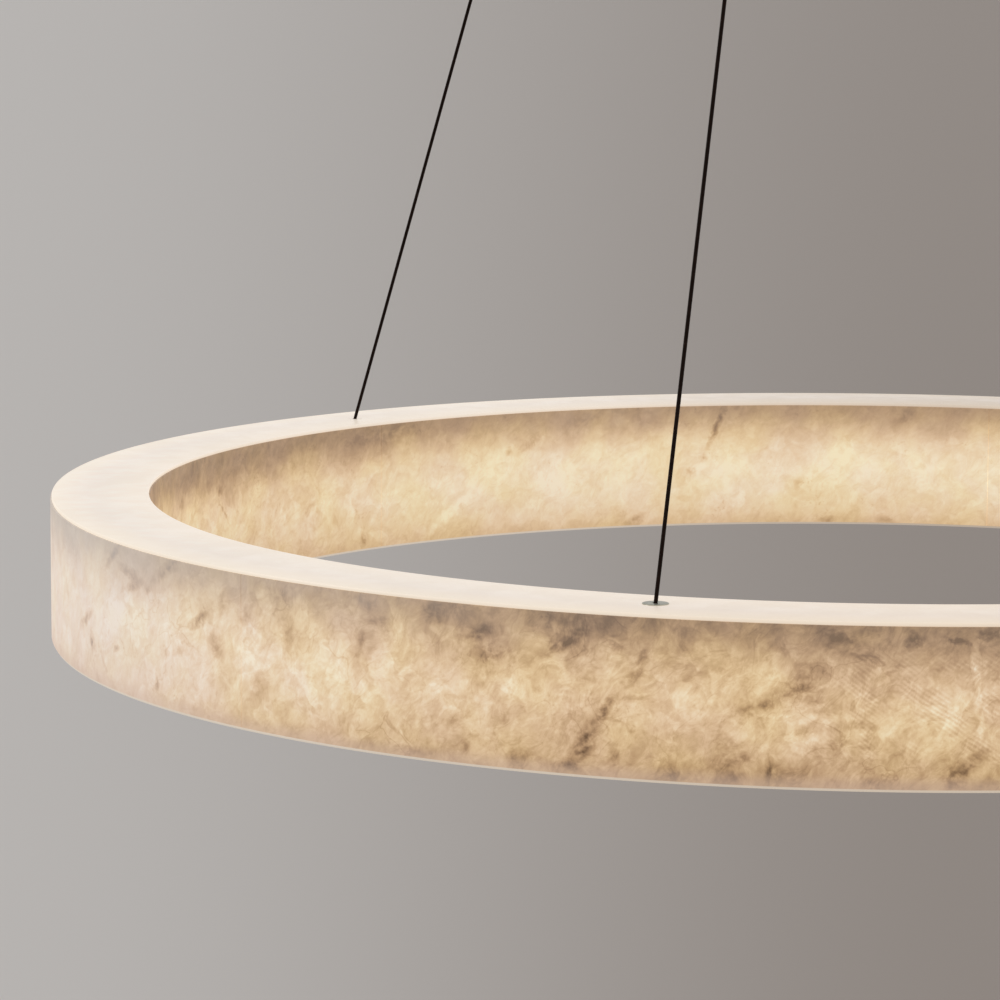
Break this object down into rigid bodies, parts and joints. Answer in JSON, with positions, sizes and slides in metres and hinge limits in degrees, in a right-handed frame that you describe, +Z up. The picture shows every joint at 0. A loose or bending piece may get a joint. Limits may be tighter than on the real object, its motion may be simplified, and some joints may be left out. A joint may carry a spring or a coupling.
{
  "type": "ring chandelier",
  "caption": "Backlit veined stone ring of rectangular section, hung level on slanting thin cables from a round ceiling canopy.",
  "frame": {"origin": "middle of the ceiling bracket's upper face, on the ceiling", "axes": "+Z up, square to the ceiling; -Y towards the front (feed) cable; X to the right"},
  "size_m": [1, 1, 1.027],
  "materials": {
    "outer_stone": "honed, backlit veined stone",
    "inner_stone": "honed, backlit veined stone",
    "opal_plate": "satin opal plate, lit from within",
    "white_plastic": "satin",
    "black_cable": "black sleeved cable",
    "grey_metal": "grey plated turned metal",
    "canopy_paint": "matt off-white powder coat",
    "zinc_steel": "bright zinc plate",
    "fasteners": "plated steel",
    "frame_aluminium": "mill finish",
    "light_modules": "lit modules",
    "driver_plastic": "fine texture",
    "terminal_plastic": "moulded",
    "lead": "insulated wire",
    "magnets": "nickel plate"
  },
  "bodies": {
    "canopy": {"ceiling_bracket": "zinc_steel", "canopy_cover": "canopy_paint", "gripper_bodies": "grey_metal", "gripper_jaws": "fasteners", "gripper_springs": "fasteners", "gripper_nuts": "fasteners", "canopy_collars": "grey_metal", "driver_case": "driver_plastic", "driver_lid": "driver_plastic", "driver_screws": "fasteners", "terminal_block": "terminal_plastic", "terminal_screws": "fasteners", "earth_screw": "fasteners", "cable_tails": "black_cable"},
    "light_ring": {"top_cover": "opal_plate", "bottom_diffuser": "opal_plate", "frame_ring": "frame_aluminium", "hangers": "zinc_steel", "hanger_screws": "fasteners", "feed_gland": "grey_metal", "gland_nut": "grey_metal", "cable_bushings": "white_plastic", "outer_clips": "frame_aluminium", "inner_clips": "frame_aluminium", "clip_screws": "fasteners", "led_modules_outer": "light_modules", "led_modules_inner": "light_modules", "ring_connector": "terminal_plastic", "ring_lead": "lead", "diffuser_brackets": "fasteners", "diffuser_magnets": "magnets", "outer_stone_1": "outer_stone", "outer_stone_2": "outer_stone", "outer_stone_3": "outer_stone", "outer_stone_4": "outer_stone", "outer_stone_5": "outer_stone", "outer_stone_6": "outer_stone", "inner_stone_1": "inner_stone", "inner_stone_2": "inner_stone", "inner_stone_3": "inner_stone", "inner_stone_4": "inner_stone", "inner_stone_5": "inner_stone", "inner_stone_6": "inner_stone"},
    "front_cable": {"cable_front": "black_cable", "cable_stop_front": "fasteners"},
    "front_nozzle": {"nozzle_front": "grey_metal"},
    "left_cable": {"cable_left": "black_cable", "cable_stop_left": "fasteners"},
    "left_nozzle": {"nozzle_left": "grey_metal"},
    "right_cable": {"cable_right": "black_cable", "cable_stop_right": "fasteners"},
    "right_nozzle": {"nozzle_right": "grey_metal"}
  },
  "joints": [
    {"name": "sway", "type": "hinge", "parent": "canopy", "child": "front_cable", "pos_m": [0, -0.125, -0.067], "axis": [1, 0, 0], "range_deg": [-4, 4]},
    {"name": "ring_level", "type": "hinge", "parent": "front_cable", "child": "light_ring", "pos_m": [0, -0.472, -0.9524], "axis": [1, 0, 0], "range_deg": [-1.2, 1.2]},
    {"name": "left_cable_sway", "type": "hinge", "parent": "canopy", "child": "left_cable", "pos_m": [-0.11108, 0.05733, -0.067], "axis": [1, 0, 0], "range_deg": [-4.2, 4.2]},
    {"name": "right_cable_sway", "type": "hinge", "parent": "canopy", "child": "right_cable", "pos_m": [0.11108, 0.05733, -0.067], "axis": [1, 0, 0], "range_deg": [-4.2, 4.2]},
    {"name": "front_release", "type": "slide", "parent": "canopy", "child": "front_nozzle", "axis": [0, 0, 1], "range_m": [0, 0.0025], "stiffness_N_per_m": 400, "springref_m": -0.002},
    {"name": "left_release", "type": "slide", "parent": "canopy", "child": "left_nozzle", "axis": [0, 0, 1], "range_m": [0, 0.0025], "stiffness_N_per_m": 400, "springref_m": -0.002},
    {"name": "right_release", "type": "slide", "parent": "canopy", "child": "right_nozzle", "axis": [0, 0, 1], "range_m": [0, 0.0025], "stiffness_N_per_m": 400, "springref_m": -0.002}
  ],
  "couplings": [
    {"joint": "ring_level", "follows": "sway", "ratio": -0.26483},
    {"joint": "left_cable_sway", "follows": "sway", "ratio": 1},
    {"joint": "right_cable_sway", "follows": "sway", "ratio": 1}
  ]
}
